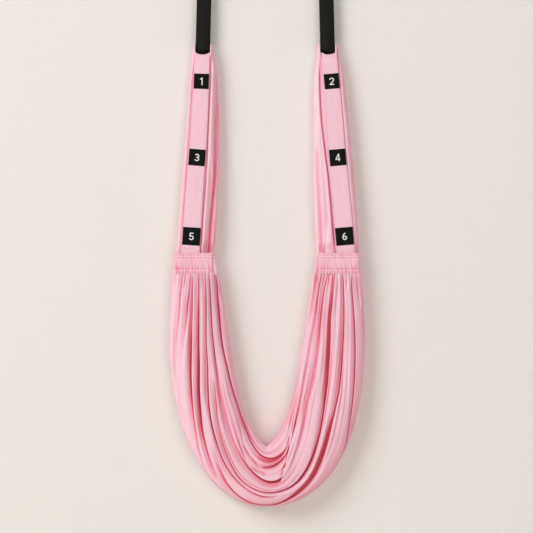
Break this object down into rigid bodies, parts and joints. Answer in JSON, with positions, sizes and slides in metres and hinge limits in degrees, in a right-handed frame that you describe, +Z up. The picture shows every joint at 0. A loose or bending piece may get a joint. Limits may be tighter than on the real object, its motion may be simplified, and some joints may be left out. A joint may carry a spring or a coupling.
{
  "type": "aerial yoga hammock",
  "caption": "Gathered cloth sling hung on two cloth arms with numbered grip bands, webbing loops and screw-lock carabiners.",
  "frame": {"origin": "midway between the two places where the carabiners hang: the inside tops of their frames", "axes": "+Z up, from the sling to the carabiners; -Y to the front, where the numbered bands face; +X to the right as seen from the front, towards the band with the even numbers"},
  "size_m": [0.4074, 0.0686, 1.1757],
  "materials": {
    "pink_cloth": "soft knitted cloth with a satin sheen",
    "pink_band": "doubled cloth, stitched flat",
    "white_tape": "woven tape",
    "black_webbing": "woven flat webbing",
    "black_label": "woven label",
    "steel": "satin zinc-plated steel",
    "dark_steel": "blackened steel"
  },
  "bodies": {
    "carabiners": {"left_carabiner_body": "steel", "right_carabiner_body": "steel", "left_gate_pin": "steel", "right_gate_pin": "steel"},
    "left_gate": {"left_gate": "steel", "left_gate_spring": "steel", "left_gate_plunger": "steel"},
    "right_gate": {"right_gate": "steel", "right_gate_spring": "steel", "right_gate_plunger": "steel"},
    "left_lock_sleeve": {"left_lock_sleeve": "dark_steel"},
    "right_lock_sleeve": {"right_lock_sleeve": "dark_steel"},
    "straps": {"left_strap": "black_webbing", "right_strap": "black_webbing"},
    "hammock": {"left_arm_cloth": "pink_cloth", "right_arm_cloth": "pink_cloth", "left_grip_band": "pink_band", "right_grip_band": "pink_band", "left_grip_band_core": "white_tape", "right_grip_band_core": "white_tape", "label_1": "black_label", "label_2": "black_label", "label_3": "black_label", "label_4": "black_label", "label_5": "black_label", "label_6": "black_label", "left_casing": "pink_band", "right_casing": "pink_band", "left_gathering_tape": "white_tape", "right_gathering_tape": "white_tape", "sling_cloth": "pink_cloth"}
  },
  "joints": [
    {"name": "strap_swing", "type": "hinge", "parent": "carabiners", "child": "straps", "pos_m": [0, 0, -0.09], "axis": [1, 0, 0], "range_deg": [-45, 45]},
    {"name": "hammock_swing", "type": "hinge", "parent": "straps", "child": "hammock", "pos_m": [0, 0, -0.21], "axis": [1, 0, 0], "range_deg": [-40, 40]},
    {"name": "left_gate_swing", "type": "hinge", "parent": "carabiners", "child": "left_gate", "pos_m": [-0.1436, 0, -0.01552], "axis": [0, -1, 0], "range_deg": [0, 30], "stiffness_Nm_per_rad": 0.05, "springref_deg": -28.65},
    {"name": "right_gate_swing", "type": "hinge", "parent": "carabiners", "child": "right_gate", "pos_m": [0.1436, 0, -0.01552], "axis": [0, 1, 0], "range_deg": [0, 30], "stiffness_Nm_per_rad": 0.05, "springref_deg": -28.65},
    {"name": "left_sleeve_slide", "type": "slide", "parent": "left_gate", "child": "left_lock_sleeve", "axis": [-0.2178, 0, -0.976], "range_m": [0, 0.008]},
    {"name": "right_sleeve_slide", "type": "slide", "parent": "right_gate", "child": "right_lock_sleeve", "axis": [0.2178, 0, -0.976], "range_m": [0, 0.008]}
  ]
}
